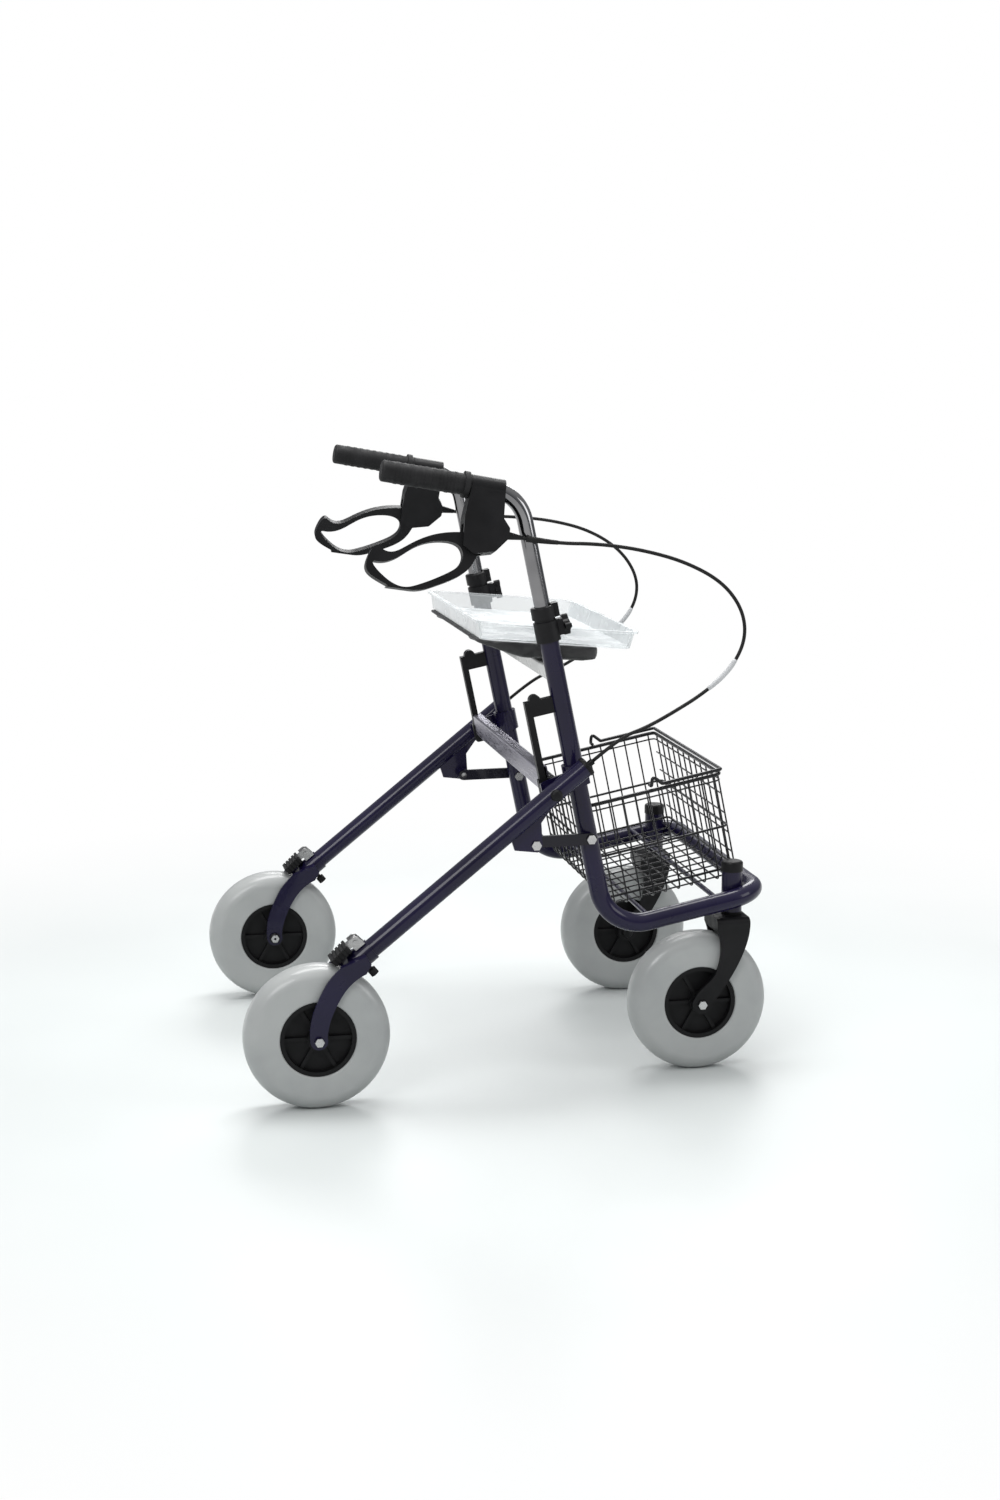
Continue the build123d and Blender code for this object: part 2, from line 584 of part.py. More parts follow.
LEVER_PIVOT = (2, -74)
HOUSING_HALF, POCKET_HALF, LEVER_HALF = 14, 7.3, 7
with BuildPart() as brake_housing:
    with BuildSketch(brake_plane(-HOUSING_HALF)):
        Polygon((-18, 0), (28, 0), (30, -40), (40, -52), (40, -66), (24, -86), (-6, -94), (-21, -84),
                (-23, -44), align=None)
    extrude(amount=2 * HOUSING_HALF)
    fillet(brake_housing.edges().filter_by(Axis((0, 0, 0), brake_normal)), 3)
    with BuildSketch(grip_plane.offset(-28)):
        Circle(15)
    extrude(amount=46)
    with BuildSketch(Plane(brake_plane().from_local_coords((38, -59.5, 0)), z_dir=along_grip)):
        Circle(6)
    extrude(amount=22, taper=8)
    with BuildSketch(brake_plane(-POCKET_HALF)):
        Polygon((-40, -52), (6, -56), (14, -74), (8, -90), (-10, -120), (-60, -120), align=None)
    extrude(amount=2 * POCKET_HALF, mode=Mode.SUBTRACT)
    add(handle_solid, mode=Mode.SUBTRACT)
    with BuildSketch(brake_plane(-HOUSING_HALF + 1)):
        with Locations(LEVER_PIVOT):
            Circle(3)
    extrude(amount=2 * HOUSING_HALF - 2)
save_pair(brake_housing.part, "brake_housing")

with BuildPart() as brake_lever:
    with BuildSketch(brake_plane(-LEVER_HALF)):
        with BuildLine():
            crest = Spline((4, -65), (-22, -66), (-62, -76), (-95, -96), (-113, -107), (-131, -103))
            hook = Spline(crest @ 1, (-145, -120), (-143, -138), (-114, -153), (-84, -154),
                          tangents=[crest % 1, (1, 0.02)])
            Spline(hook @ 1, (-50, -143), (-10, -116), (4, -84), tangents=[hook % 1, (0.3, 1)])
            Line((4, -84), (4, -65))
        make_face()
        with BuildLine():
            Spline((-134, -123), (-106, -114), (-86, -97.5), (-50, -82.5), (-22, -88), (-18, -101),
                   (-38, -125), (-74, -145.5), (-114, -145.5), periodic=True)
        make_face(mode=Mode.SUBTRACT)
        with Locations(LEVER_PIVOT):
            Circle(9)
            Circle(3.05, mode=Mode.SUBTRACT)
    extrude(amount=2 * LEVER_HALF)
save_pair(brake_lever.part, "brake_lever")

# ---- seat: support bar, hinge, board and cushion ----
BAR_TOP_V, BAR_H = 384, 22
HINGE_W, HINGE_V = 22, 373
HINGE_PIN_R = 3.0
bar_half = FRAME_Y - TUBE_R + 2
with BuildPart() as seat_support:
    with BuildSketch(upright_plane(bar_half)):
        with Locations((0, BAR_TOP_V - BAR_H / 2)):
            RectangleRounded(16, BAR_H, 3)
            RectangleRounded(12, BAR_H - 4, 1.5, mode=Mode.SUBTRACT)
    extrude(amount=2 * bar_half)
    for side in (1, -1):
        with BuildSketch(upright_plane(side * 140 + 6)):
            with Locations((HINGE_W, HINGE_V)):
                Circle(6)
            with Locations((HINGE_W - 7.5, HINGE_V)):
                Rectangle(15, 12)
        extrude(amount=12)
        hinge_x = CORNER_X + HINGE_W * LEAN_C - HINGE_V * LEAN_S
        hinge_z = CORNER_Z + HINGE_W * LEAN_S + HINGE_V * LEAN_C
        add(cross_disc(hinge_x, hinge_z, side * 140 - 15, side * 140 + 15, HINGE_PIN_R))
    add(side_solid, mode=Mode.SUBTRACT)
    add(mirror(side_solid, about=Plane.XZ), mode=Mode.SUBTRACT)
save(seat_support.part, "seat_support")

seat_c, seat_s = cos(radians(SEAT_DROP)), sin(radians(SEAT_DROP))
seat_plane = Plane(origin=(SEAT_X, 0, SEAT_Z), x_dir=(seat_c, 0, -seat_s), z_dir=(seat_s, 0, seat_c))
with BuildPart() as seat_board:
    with BuildSketch(seat_plane.offset(-CUSHION_T - BOARD_T)):
        with Locations((34, 0)):
            RectangleRounded(92, 2 * SEAT_HALF_W - 80, 15)
    extrude(amount=BOARD_T)
    for side in (1, -1):
        for offset_y in (-11.5, 11.5):
            y = side * 140 + offset_y
            with BuildSketch(side_plane(y + 3)):
                with Locations((hinge_x, hinge_z)):
                    Circle(6)
                    with Locations((0, 5)):
                        Rectangle(10, 9)
                    Circle(HINGE_PIN_R + 0.05, mode=Mode.SUBTRACT)
            extrude(amount=6)
save(seat_board.part, "seat_board")

# the cushion's underside rises to a thin rear edge, and its front edge is round
cushion_section = Plane(seat_plane.from_local_coords((0, SEAT_HALF_W, 0)), x_dir=seat_plane.x_dir, z_dir=(0, -1, 0))
with BuildPart() as seat_cushion:
    with BuildSketch(cushion_section) as profile:
        Polygon((-SEAT_LEN / 2, 0), (SEAT_LEN / 2, 0), (SEAT_LEN / 2, -CUSHION_T), (-22, -CUSHION_T),
                (-SEAT_LEN / 2, -CUSHION_EDGE_T), align=None)
        fillet(profile.vertices().sort_by(Axis.X)[-2:], 8)
    extrude(amount=2 * SEAT_HALF_W)
    with BuildSketch(seat_plane.offset(-CUSHION_T - 10)):
        RectangleRounded(SEAT_LEN, 2 * SEAT_HALF_W, 22)
    extrude(amount=CUSHION_T + 20, mode=Mode.INTERSECT)
save(seat_cushion.part, "seat_cushion")

# ---- tray: clear moulded tray with a rim, resting on the cushion ----
tray_plane = Plane(seat_plane.from_local_coords((TRAY_SHIFT, 0, 0.4)), x_dir=seat_plane.x_dir, z_dir=seat_plane.z_dir)
with BuildPart() as tray:
    with BuildSketch(tray_plane):
        RectangleRounded(TRAY_LEN - 18, 2 * TRAY_HALF_W - 18, 20)
    with BuildSketch(tray_plane.offset(TRAY_H)):
        RectangleRounded(TRAY_LEN - 8, 2 * TRAY_HALF_W - 8, 24)
    loft()
    with BuildSketch(tray_plane.offset(TRAY_WALL)):
        RectangleRounded(TRAY_LEN - 22, 2 * TRAY_HALF_W - 22, 18)
    with BuildSketch(tray_plane.offset(TRAY_H)):
        RectangleRounded(TRAY_LEN - 13, 2 * TRAY_HALF_W - 13, 22)
    loft(mode=Mode.SUBTRACT)
    with BuildSketch(tray_plane.offset(TRAY_H - 3)):
        RectangleRounded(TRAY_LEN, 2 * TRAY_HALF_W, 26)
        RectangleRounded(TRAY_LEN - 11, 2 * TRAY_HALF_W - 11, 22, mode=Mode.SUBTRACT)
    extrude(amount=3)
save(tray.part, "tray")

# ---- basket: open-topped shell, and its carrying bail folded forward on the rim ----
basket_mid = BASKET_START + BASKET_LEN / 2
basket_plane = Plane(loop_plane.from_local_coords((basket_mid, 0, BASKET_LOW)),
                     x_dir=loop_plane.x_dir, z_dir=loop_plane.z_dir)
with BuildPart() as basket:
    with BuildSketch(basket_plane):
        RectangleRounded(BASKET_LEN, 2 * BASKET_HALF_W, 10)
    extrude(amount=BASKET_TOP - BASKET_LOW)
    with BuildSketch(basket_plane.offset(BASKET_WALL)):
        RectangleRounded(BASKET_LEN - 2 * BASKET_WALL, 2 * BASKET_HALF_W - 2 * BASKET_WALL, 8)
    extrude(amount=BASKET_TOP - BASKET_LOW, mode=Mode.SUBTRACT)
save(basket.part, "basket")

BAIL_R, BAIL_W, BAIL_RISE = 2.5, 115, 4
bail_plane = Plane(loop_plane.from_local_coords((0, 0, BASKET_TOP + BAIL_RISE)),
                   x_dir=loop_plane.x_dir, z_dir=loop_plane.z_dir)
bail_half = BASKET_HALF_W - 1
bail_end = BASKET_START + BASKET_LEN - 1
bail_points = [(BAIL_W, bail_half - 14), (BAIL_W, bail_half), (bail_end, bail_half),
               (bail_end, -bail_half), (BAIL_W, -bail_half), (BAIL_W, 14 - bail_half)]
save(bent_tube(bail_plane, bail_points, 6, BAIL_R), "basket_bail")


# ---- brake cables: free loops from the brake housing to the leg's top end ----
def cable_radii(points):
    """For each corner, 0.45 of the shorter run over the tangent of half the turn."""
    radii = []
    for before, here, after in zip(points, points[1:], points[2:]):
        run_in, run_out = Vector(*here) - Vector(*before), Vector(*after) - Vector(*here)
        turn = radians(run_in.get_angle(run_out))
        radii.append(0.45 * min(run_in.length, run_out.length) / tan(turn / 2))
    return radii


def make_cable(points, name):
    radii = cable_radii(points)
    with BuildPart() as cable:
        with BuildLine() as route:
            FilletPolyline(*points, radius=radii)
        with BuildSketch(Plane(origin=route.line @ 0, z_dir=route.line % 0)):
            Circle(CABLE_R)
        sweep()
    run = route.wire().length
    ratio = cable.part.volume / (3.14159265 * CABLE_R ** 2 * run)
    print(name, "length", round(run), "smallest radius", round(min(radii)),
          "volume ratio", round(ratio, 3), "radii", [round(r) for r in radii])
    save(cable.part, name)


cable_exit = brake_plane().from_local_coords((60, -59.5, 0))
gland_end = on_leg(LEG_STUB + GLAND_LEN)
leaving = cable_exit + 46 * along_grip
arriving = on_leg(LEG_STUB + GLAND_LEN + 50)
left_route = [
    (cable_exit.X, cable_exit.Y, cable_exit.Z), (leaving.X, leaving.Y, leaving.Z), (116, 258, 756),
    (172, 260, 749), (228, 262, 734), (276, 264, 706), (305, 266, 670), (313, 268, 634), (299, 271, 596),
    (263, 275, 562), (218, 279, 530), (178, 282, 508),
    (arriving[0], REAR_TRACK_HALF, arriving[1]), (gland_end[0], REAR_TRACK_HALF, gland_end[1])]
right_route = [
    (cable_exit.X, -cable_exit.Y, cable_exit.Z), (leaving.X, -leaving.Y, leaving.Z), (118, -258, 757),
    (178, -260, 748), (238, -263, 731), (290, -266, 703), (319, -268, 665), (324, -270, 624), (303, -273, 584),
    (264, -276, 552), (220, -279, 527), (180, -282, 507),
    (arriving[0], -REAR_TRACK_HALF, arriving[1]), (gland_end[0], -REAR_TRACK_HALF, gland_end[1])]
make_cable(left_route, "brake_cable_left")
make_cable(right_route, "brake_cable_right")
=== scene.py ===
import json
from math import cos, pi, radians, sin, tan

import bmesh
import bpy
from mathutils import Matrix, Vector


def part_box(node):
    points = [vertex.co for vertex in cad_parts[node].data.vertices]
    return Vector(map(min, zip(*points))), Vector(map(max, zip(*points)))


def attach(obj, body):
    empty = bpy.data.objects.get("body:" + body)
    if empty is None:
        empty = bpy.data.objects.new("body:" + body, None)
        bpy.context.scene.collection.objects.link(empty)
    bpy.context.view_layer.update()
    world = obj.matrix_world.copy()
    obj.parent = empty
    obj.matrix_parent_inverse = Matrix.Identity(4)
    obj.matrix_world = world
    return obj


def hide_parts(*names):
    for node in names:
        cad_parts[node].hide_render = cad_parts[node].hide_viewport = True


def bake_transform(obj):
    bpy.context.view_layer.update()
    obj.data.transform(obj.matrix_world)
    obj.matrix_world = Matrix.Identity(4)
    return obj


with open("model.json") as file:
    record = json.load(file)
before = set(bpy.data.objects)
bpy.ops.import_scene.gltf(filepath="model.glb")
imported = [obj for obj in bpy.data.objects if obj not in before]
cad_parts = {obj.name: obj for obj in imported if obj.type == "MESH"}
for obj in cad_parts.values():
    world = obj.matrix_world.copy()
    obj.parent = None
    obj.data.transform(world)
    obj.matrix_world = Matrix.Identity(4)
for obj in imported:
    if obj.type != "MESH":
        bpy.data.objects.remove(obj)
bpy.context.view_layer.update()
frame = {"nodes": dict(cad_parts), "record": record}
NODES = frame["nodes"]
SIDES = (("left", 1), ("right", -1))

# driving dimensions, in metres, as in the CAD model
LEAN = radians(11.6)
CORNER_X, CORNER_Z = 0.1383, 0.2125
BASKET_REAR, BASKET_FRONT = 0.018, 0.220
BASKET_LOW, BASKET_HIGH = 0.012, 0.170
BASKET_HALF_Y = 0.184
BAIL_PIVOT_W, BAIL_LIFT = 0.115, 0.004
AXLE_Z, AXLE_X = 0.1, 0.277
FOLD_PIVOT_X, FOLD_PIVOT_Z = 0.052, 0.4207
CABLE_D = 0.005
SEAT_DROP = radians(5)
GRIP_RISE = radians(10)

# radii of the basket's and the bail's wires
WIRE, RAIL, RIM, BAIL = 0.0012, 0.0018, 0.0027, 0.0025


def at(w, y, v):
    """A row-frame point from w forward along the lower rail, y to the left and v up the upright."""
    x = CORNER_X + w * cos(LEAN) - v * sin(LEAN)
    z = CORNER_Z + w * sin(LEAN) + v * cos(LEAN)
    return Vector((x, y, z))


# ---- camera ----
def make_camera():
    camera = bpy.data.objects.new("camera", bpy.data.cameras.new("camera"))
    bpy.context.scene.collection.objects.link(camera)
    bpy.context.scene.camera = camera
    heading, tilt = radians(11.45), radians(9.92)
    camera.location = (-0.6401, -3.3287, 1.027)
    look = Vector((sin(heading) * cos(tilt), cos(heading) * cos(tilt), -sin(tilt)))
    camera.rotation_euler = look.to_track_quat("-Z", "Y").to_euler()
    camera.data.lens = 56.15
    camera.data.sensor_width = 36
    camera.data.clip_end = 50


# ---- materials ----
def shader(name, color, roughness, metallic=0.0, **sockets):
    """A principled material; sockets are set by their names with underscores for spaces."""
    mat = bpy.data.materials.new(name)
    mat.use_nodes = True
    bsdf = mat.node_tree.nodes["Principled BSDF"]
    bsdf.inputs["Base Color"].default_value = (*color, 1)
    bsdf.inputs["Roughness"].default_value = roughness
    bsdf.inputs["Metallic"].default_value = metallic
    for key, value in sockets.items():
        bsdf.inputs[key.replace("_", " ")].default_value = value
    return mat


def texture(mat, kind, scale, **settings):
    """A texture node read in object coordinates, so that it stays on a moving piece."""
    nodes, links = mat.node_tree.nodes, mat.node_tree.links
    place = nodes.get("place") or nodes.new("ShaderNodeTexCoord")
    place.name = "place"
    node = nodes.new(kind)
    links.new(place.outputs["Object"], node.inputs["Vector"])
    node.inputs["Scale"].default_value = scale
    for key, value in settings.items():
        node.inputs[key].default_value = value
    return node


def output_of(node):
    for name in ("Fac", "Distance", "Facing"):
        if name in node.outputs:
            return node.outputs[name]
    return node.outputs[0]


def bump(mat, node, strength, distance):
    """Adds a bump on top of those that the material already has."""
    nodes, links = mat.node_tree.nodes, mat.node_tree.links
    bsdf = nodes["Principled BSDF"]
    piece = nodes.new("ShaderNodeBump")
    piece.inputs["Strength"].default_value = strength
    piece.inputs["Distance"].default_value = distance
    links.new(output_of(node), piece.inputs["Height"])
    below = bsdf.inputs["Normal"]
    if below.is_linked:
        links.new(below.links[0].from_socket, piece.inputs["Normal"])
    links.new(piece.outputs["Normal"], below)


def vary(mat, socket, node, low, high, start=0.3, end=0.7):
    """Drives a socket from a texture, between two values or two colours."""
    nodes, links = mat.node_tree.nodes, mat.node_tree.links
    ramp = nodes.new("ShaderNodeValToRGB")
    for stop, place, value in ((0, start, low), (1, end, high)):
        color = value if isinstance(value, tuple) else (value, value, value)
        ramp.color_ramp.elements[stop].position = place
        ramp.color_ramp.elements[stop].color = (*color, 1)
    links.new(output_of(node), ramp.inputs["Fac"])
    links.new(ramp.outputs["Color"], nodes["Principled BSDF"].inputs[socket])


def powder_coat(name, dark, light):
    """Glossy paint with a fine orange peel."""
    mat = shader(name, dark, 0.3, Coat_Weight=0.35, Coat_Roughness=0.05, Specular_IOR_Level=0.15)
    vary(mat, "Base Color", texture(mat, "ShaderNodeTexNoise", 9, Detail=4), dark, light)
    vary(mat, "Roughness", texture(mat, "ShaderNodeTexNoise", 40, Detail=6), 0.24, 0.36)
    bump(mat, texture(mat, "ShaderNodeTexNoise", 650, Detail=2), 0.1, 0.0003)
    return mat


def chrome():
    mat = shader("chrome", (0.72, 0.72, 0.74), 0.12, 1.0)
    vary(mat, "Roughness", texture(mat, "ShaderNodeTexNoise", 30, Detail=8), 0.05, 0.14)
    cloudy = texture(mat, "ShaderNodeTexNoise", 12, Detail=3)
    vary(mat, "Base Color", cloudy, (0.15, 0.15, 0.155), (0.27, 0.27, 0.275))
    return mat


def bright_steel(name="bright_bolts", tone=0.5):
    mat = shader(name, (tone, tone, tone), 0.25, 1.0)
    vary(mat, "Roughness", texture(mat, "ShaderNodeTexNoise", 160, Detail=6), 0.18, 0.38)
    bump(mat, texture(mat, "ShaderNodeTexNoise", 900, Detail=3), 0.1, 0.0002)
    return mat


def brushed_bar():
    """Silver bar whose streaks run along it, from side to side."""
    mat = shader("silver_bar", (0.42, 0.42, 0.46), 0.32, 0.9)
    stretch = texture(mat, "ShaderNodeTexNoise", 60, Detail=8)
    nodes, links = mat.node_tree.nodes, mat.node_tree.links
    mapping = nodes.new("ShaderNodeMapping")
    mapping.inputs["Scale"].default_value = (12, 0.5, 12)
    links.new(nodes["place"].outputs["Object"], mapping.inputs["Vector"])
    links.new(mapping.outputs["Vector"], stretch.inputs["Vector"])
    vary(mat, "Roughness", stretch, 0.22, 0.45)
    vary(mat, "Base Color", stretch, (0.17, 0.165, 0.205), (0.34, 0.33, 0.39))
    bump(mat, stretch, 0.12, 0.0003)
    return mat


def moulded_plastic(name, dark, light, grain=1100, rough=(0.38, 0.52)):
    mat = shader(name, dark, 0.45, Specular_IOR_Level=0.2)
    vary(mat, "Base Color", texture(mat, "ShaderNodeTexNoise", 22, Detail=5), dark, light)
    vary(mat, "Roughness", texture(mat, "ShaderNodeTexNoise", 70, Detail=4), *rough)
    bump(mat, texture(mat, "ShaderNodeTexVoronoi", grain), 0.18, 0.0003)
    return mat


def soft_rubber(name, dark, light):
    mat = shader(name, dark, 0.7, Specular_IOR_Level=0.3)
    vary(mat, "Base Color", texture(mat, "ShaderNodeTexNoise", 35, Detail=6), dark, light)
    vary(mat, "Roughness", texture(mat, "ShaderNodeTexNoise", 90, Detail=4), 0.55, 0.75)
    bump(mat, texture(mat, "ShaderNodeTexNoise", 1400, Detail=2), 0.3, 0.0004)
    return mat


def tyre_compound():
    """Light grey solid tyre: faint mottling and a dusty tread."""
    mat = shader("tyre_grey", (0.31, 0.32, 0.32), 0.4, Coat_Weight=0.3, Coat_Roughness=0.15)
    mottling = texture(mat, "ShaderNodeTexNoise", 14, Detail=8)
    vary(mat, "Base Color", mottling, (0.305, 0.318, 0.318), (0.370, 0.382, 0.378))
    vary(mat, "Roughness", texture(mat, "ShaderNodeTexNoise", 60, Detail=6), 0.3, 0.5)
    bump(mat, texture(mat, "ShaderNodeTexNoise", 220, Detail=5), 0.1, 0.0006)
    return mat


def clear_plastic():
    """Clear to look down through, and pale where it is seen at a low angle: partly haze, partly a painted
    sheen that stands in for the glancing reflection.
    """
    mat = shader("tray_clear", (0.70, 0.73, 0.74), 0.25)
    haze = texture(mat, "ShaderNodeTexNoise", 6, Detail=4)
    vary(mat, "Base Color", haze, (0.62, 0.65, 0.66), (0.74, 0.77, 0.78))
    # painted sheen: the pale colour grows more opaque as the viewing angle gets lower, in place of the
    # glancing reflection
    grazing_sheen = mat.node_tree.nodes.new("ShaderNodeLayerWeight")
    grazing_sheen.inputs["Blend"].default_value = 0.5
    vary(mat, "Alpha", grazing_sheen, 0.30, 0.95, 0.52, 0.82)
    vary(mat, "Roughness", texture(mat, "ShaderNodeTexNoise", 25, Detail=6), 0.15, 0.35)
    bump(mat, texture(mat, "ShaderNodeTexNoise", 300, Detail=3), 0.05, 0.0003)
    return mat


def padded_vinyl():
    mat = shader("cushion_black", (0.02, 0.02, 0.021), 0.5)
    worn = texture(mat, "ShaderNodeTexNoise", 18, Detail=6)
    vary(mat, "Base Color", worn, (0.014, 0.014, 0.015), (0.026, 0.026, 0.027))
    vary(mat, "Roughness", texture(mat, "ShaderNodeTexNoise", 80, Detail=5), 0.42, 0.6)
    bump(mat, texture(mat, "ShaderNodeTexVoronoi", 700), 0.35, 0.0005)
    bump(mat, texture(mat, "ShaderNodeTexNoise", 40, Detail=6), 0.15, 0.002)
    return mat


def make_materials():
    dark, black = (0.003, 0.003, 0.0035), (0.006, 0.006, 0.0065)
    return {
        "frame_purple": powder_coat("frame_purple", (0.0045, 0.0032, 0.019), (0.008, 0.0055, 0.032)),
        "light_grey": powder_coat("light_grey", (0.50, 0.51, 0.50), (0.60, 0.61, 0.60)),
        "basket_wire": powder_coat("basket_wire", (0.005, 0.005, 0.006), (0.010, 0.010, 0.012)),
        "chrome_tube": chrome(),
        "silver_bar": brushed_bar(),
        "bright_bolts": bright_steel(),
        "bracket_steel": bright_steel("bracket_steel", 0.4),
        "dark_steel": bright_steel("dark_steel", 0.03),
        "link_paint": powder_coat("link_paint", (0.004, 0.004, 0.008), (0.007, 0.006, 0.014)),
        "black_plastic": moulded_plastic("black_plastic", dark, (0.008, 0.008, 0.009)),
        "black_rim": moulded_plastic("black_rim", dark, black, 800, (0.45, 0.6)),
        "board_black": moulded_plastic("board_black", dark, black, 600),
        "bushes": moulded_plastic("bushes", (0.7, 0.69, 0.65), (0.8, 0.79, 0.76)),
        "cable_sleeve": moulded_plastic("cable_sleeve", (0.42, 0.43, 0.44), (0.52, 0.53, 0.54)),
        "grip_rubber": soft_rubber("grip_rubber", dark, (0.010, 0.010, 0.011)),
        "pad_rubber": soft_rubber("pad_rubber", dark, black),
        "cable_jacket": soft_rubber("cable_jacket", (0.003, 0.003, 0.003), (0.007, 0.007, 0.007)),
        "tyre_grey": tyre_compound(),
        "tray_clear": clear_plastic(),
        "cushion_black": padded_vinyl(),
    }


def dress(obj, mat):
    obj.data.materials.clear()
    obj.data.materials.append(mat)


# ---- wires ----
def rounded(points, radius, steps=5, closed=False):
    """A polyline with each corner replaced by a curve of about that radius, for bent wire."""
    points = [Vector(p) for p in points]
    count = len(points)
    result = []
    for i, here in enumerate(points):
        if not closed and i in (0, count - 1):
            result.append(here)
            continue
        before, after = points[i - 1], points[(i + 1) % count]
        a, b = (before - here).normalized(), (after - here).normalized()
        wanted = radius / max(1e-6, tan(a.angle(b) / 2))
        reach = min(wanted, (before - here).length / 2, (after - here).length / 2)
        start, end = here + a * reach, here + b * reach
        for k in range(steps + 1):
            t = k / steps
            result.append(start * (1 - t) ** 2 + here * 2 * t * (1 - t) + end * t ** 2)
    return result


def wire_object(name, lines, radius, mat, body, sides=3):
    """One curve object with a round wire along each (points, closed) line."""
    curve = bpy.data.curves.new(name, "CURVE")
    curve.dimensions = "3D"
    curve.bevel_depth = radius
    curve.bevel_resolution = sides
    curve.use_fill_caps = True
    for points, closed in lines:
        spline = curve.splines.new("POLY")
        spline.points.add(len(points) - 1)
        for item, point in zip(spline.points, points):
            item.co = (*point, 1)
        spline.use_cyclic_u = closed
    obj = bpy.data.objects.new(name, curve)
    bpy.context.scene.collection.objects.link(obj)
    dress(obj, mat)
    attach(obj, body)
    return obj


def spread(low, high, count):
    return [low + (high - low) * k / (count - 1) for k in range(count)]


def make_basket(mats):
    """Round wires on all five sides, a middle and a low rail, and a double rim."""
    low_w, high_w = BASKET_REAR + RIM, BASKET_FRONT - RIM
    half_y = BASKET_HALF_Y - RIM
    floor_v, rim_v = BASKET_LOW + RAIL, BASKET_HIGH - RIM
    wire_bend, ring_bend = 0.018, 0.010
    end_gap, side_gap, low_gap, high_gap = 0.010, 0.016, 0.036, 0.030
    low_rail_gap, second_rim_gap = 0.016, 0.009
    layer = 2 * WIRE
    lines = []
    for w in spread(low_w + end_gap, high_w - end_gap, 10):
        down, up = [at(w, half_y, v) for v in (rim_v, floor_v)], [at(w, -half_y, v) for v in (floor_v, rim_v)]
        lines.append((rounded(down + up, wire_bend), False))
    for y in spread(-half_y + side_gap, half_y - side_gap, 12):
        lift = floor_v + layer
        down, up = [at(low_w, y, v) for v in (rim_v, lift)], [at(high_w, y, v) for v in (lift, rim_v)]
        lines.append((rounded(down + up, wire_bend), False))
    end_y = half_y - 0.006
    for v in spread(floor_v + low_gap, rim_v - high_gap, 4):
        for w in (low_w + layer, high_w - layer):
            lines.append(([at(w, end_y, v), at(w, -end_y, v)], False))

    def ring(v, shrink=0.0):
        a, b, c = low_w + shrink, high_w - shrink, half_y - shrink
        corners = [at(a, c, v), at(b, c, v), at(b, -c, v), at(a, -c, v)]
        return rounded(corners, ring_bend, closed=True), True

    rails = [ring((floor_v + rim_v) / 2, layer), ring(floor_v + low_rail_gap, layer)]
    wires = wire_object("basket_wires", lines, WIRE, mats["basket_wire"], "basket")
    rail = wire_object("basket_rails", rails, RAIL, mats["basket_wire"], "basket")
    rim = wire_object("basket_rim", [ring(rim_v)], RIM, mats["basket_wire"], "basket", 4)
    second_ring = ring(rim_v - second_rim_gap, 0.001)
    second = wire_object("basket_rim_second", [second_ring], WIRE, mats["basket_wire"], "basket")
    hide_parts("basket")


def make_bail(mats):
    """The carrying bail lies forward on the rim. Each end has an inward stub and a small peak."""
    reach, half_y, v = BASKET_FRONT - 0.001, BASKET_HALF_Y - 0.001, BASKET_HIGH + BAIL_LIFT
    peak, foot = BAIL_PIVOT_W + 0.004, BAIL_PIVOT_W + 0.016
    peak_rise, stub_length = 0.014, 0.012
    ends = []
    for side in (1, -1):
        y = side * half_y
        stub = [at(BAIL_PIVOT_W, y - side * stub_length, v), at(BAIL_PIVOT_W, y, v)]
        ends.append([*stub, at(peak, y, v + peak_rise), at(foot, y, v)])
    points = ends[0] + [at(reach, half_y, v), at(reach, -half_y, v)] + ends[1][::-1]
    bend = 0.004
    line = rounded(points, bend, 4), False
    bail = wire_object("bail_wire", [line], BAIL, mats["basket_wire"], "basket_bail", 4)
    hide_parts("basket_bail")


# ---- brake cables ----
# points on the left: straight out of the housing, each cable's own curve, straight into the leg's cap
CABLE_START = ((0.0121, 0.2544, 0.7664), (0.0574, 0.2544, 0.7584))
CABLE_END = ((0.1446, 0.283, 0.4954), (0.1057, 0.283, 0.4640))
CABLE_ROUTES = {
    "left": (
        (0.116, 0.258, 0.756), (0.172, 0.260, 0.749), (0.228, 0.262, 0.734), (0.276, 0.264, 0.706),
        (0.305, 0.266, 0.670), (0.313, 0.268, 0.634), (0.299, 0.271, 0.596), (0.263, 0.275, 0.562),
        (0.218, 0.279, 0.530), (0.178, 0.282, 0.508)),
    "right": (
        (0.118, 0.258, 0.757), (0.178, 0.260, 0.748), (0.238, 0.263, 0.731), (0.290, 0.266, 0.703),
        (0.319, 0.268, 0.665), (0.324, 0.270, 0.624), (0.303, 0.273, 0.584), (0.264, 0.276, 0.552),
        (0.220, 0.279, 0.527), (0.180, 0.282, 0.507)),
}


def route_line(points):
    """Points along the NURBS spline that has the route's points as control points."""
    curve = bpy.data.curves.new("route", "CURVE")
    curve.dimensions = "3D"
    spline = curve.splines.new("NURBS")
    spline.points.add(len(points) - 1)
    for item, point in zip(spline.points, points):
        item.co = (*point, 1)
    spline.order_u = 3
    spline.use_endpoint_u = True
    curve.resolution_u = 12
    holder = bpy.data.objects.new("route", curve)
    bpy.context.scene.collection.objects.link(holder)
    line = bpy.data.meshes.new_from_object(holder)
    path = [v.co.copy() for v in line.vertices]
    bpy.data.objects.remove(holder)
    return path


